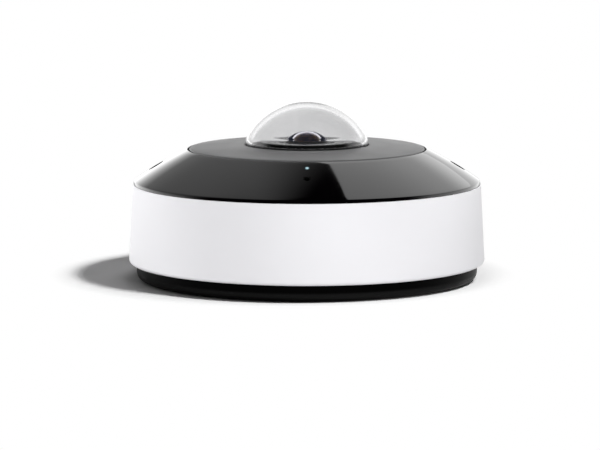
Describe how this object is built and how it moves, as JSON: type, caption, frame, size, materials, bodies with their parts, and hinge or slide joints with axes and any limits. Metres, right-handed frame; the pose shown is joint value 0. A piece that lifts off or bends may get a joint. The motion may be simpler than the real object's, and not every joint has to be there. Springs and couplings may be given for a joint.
{
  "type": "fisheye ip camera",
  "caption": "Round surface-mounted fisheye camera with a clear dome over a steep lens, a black infrared window, a white shroud and a bayonet mounting plate.",
  "frame": {"origin": "middle of the underside, at the height of the mounting plate's back face", "axes": "+Z from the mounting side to the dome; -Y is the front, with the status light and microphone"},
  "size_m": [0.1498, 0.1498, 0.075],
  "materials": {
    "base_black": "satin moulded",
    "shroud_white": "satin moulded",
    "window_black": "polished, passes infrared",
    "trim_grey": "fine matte",
    "dome_clear": "clear polished",
    "lens_glass": "coated",
    "lens_black": "black anodised",
    "baffle_black": "fine matte",
    "seal_rubber": "matte",
    "seal_silicone": "matte",
    "plate_black": "moulded grain",
    "circuit_green": "solder mask",
    "chip_black": "moulded epoxy",
    "nickel": "plated",
    "screw_steel": "zinc plated",
    "brass": "turned",
    "copper": "enamelled winding",
    "gold": "plated",
    "chassis_alloy": "die cast",
    "can_alloy": "drawn can",
    "pad_grey": "soft",
    "ribbon_amber": "polyimide film",
    "connector_cream": "moulded",
    "card_black": "moulded",
    "button_black": "moulded",
    "emitter_clear": "clear resin",
    "light_white": "clear resin",
    "membrane_black": "woven"
  },
  "bodies": {
    "base": {"base_housing": "base_black", "ceiling_gasket": "seal_rubber", "cable_grommet": "seal_rubber", "cover_seal": "seal_silicone", "threaded_inserts": "brass", "main_board": "circuit_green", "main_board_screws": "screw_steel", "network_jack": "nickel", "jack_contacts": "gold", "card_socket": "nickel", "reset_switch": "nickel", "processor": "chip_black", "thermal_pad": "pad_grey", "memory_chips": "chip_black", "supply_transformer": "chip_black", "capacitors": "can_alloy", "ribbon_connectors": "connector_cream", "sensor_ribbon": "ribbon_amber", "emitter_ribbons": "ribbon_amber", "chassis": "chassis_alloy", "chassis_screws": "screw_steel", "sensor_board": "circuit_green", "sensor_board_screws": "screw_steel", "image_sensor": "chip_black", "sensor_cover_glass": "lens_glass", "lens_holder": "baffle_black", "filter_coil": "copper", "lens_barrel": "lens_black", "lens_lock_ring": "lens_black", "front_lens": "lens_glass", "second_lens": "lens_glass", "rear_lenses": "lens_glass", "lens_baffle": "baffle_black", "baffle_screws": "screw_steel", "light_seal": "seal_rubber", "emitter_board_left": "circuit_green", "emitter_board_right": "circuit_green", "emitters_left": "emitter_clear", "emitters_right": "emitter_clear", "emitter_board_screws": "screw_steel", "front_board": "circuit_green", "status_light": "light_white", "microphone": "nickel", "microphone_boot": "seal_rubber"},
    "cover": {"white_shroud": "shroud_white", "ir_window": "window_black", "light_pipe": "light_white", "microphone_membrane": "membrane_black", "cover_screws": "screw_steel", "screw_seals": "seal_rubber", "trim_ring": "trim_grey", "dome": "dome_clear", "dome_seal": "seal_silicone", "dome_clamp": "plate_black", "cover_inner_screws": "screw_steel"},
    "mounting_plate": {"mounting_plate": "plate_black"},
    "reset_button": {"reset_button": "button_black"},
    "memory_card": {"memory_card": "card_black"},
    "day_night_filter": {"filter_carriage": "baffle_black", "filter_glasses": "lens_glass"}
  },
  "joints": [
    {"name": "cover_lift", "type": "slide", "parent": "base", "child": "cover", "axis": [0, 0, 1], "range_m": [0, 0.06]},
    {"name": "plate_twist", "type": "hinge", "parent": "base", "child": "mounting_plate", "pos_m": [0, 0, 0], "axis": [0, 0, 1], "range_deg": [-20, 0]},
    {"name": "reset_press", "type": "slide", "parent": "base", "child": "reset_button", "axis": [0, 0, -1], "range_m": [0, 0.0003], "stiffness_N_per_m": 3000},
    {"name": "card_pull", "type": "slide", "parent": "base", "child": "memory_card", "axis": [0, 1, 0], "range_m": [0, 0.013]},
    {"name": "filter_shift", "type": "slide", "parent": "base", "child": "day_night_filter", "axis": [-1, 0, 0], "range_m": [0, 0.0074]}
  ]
}
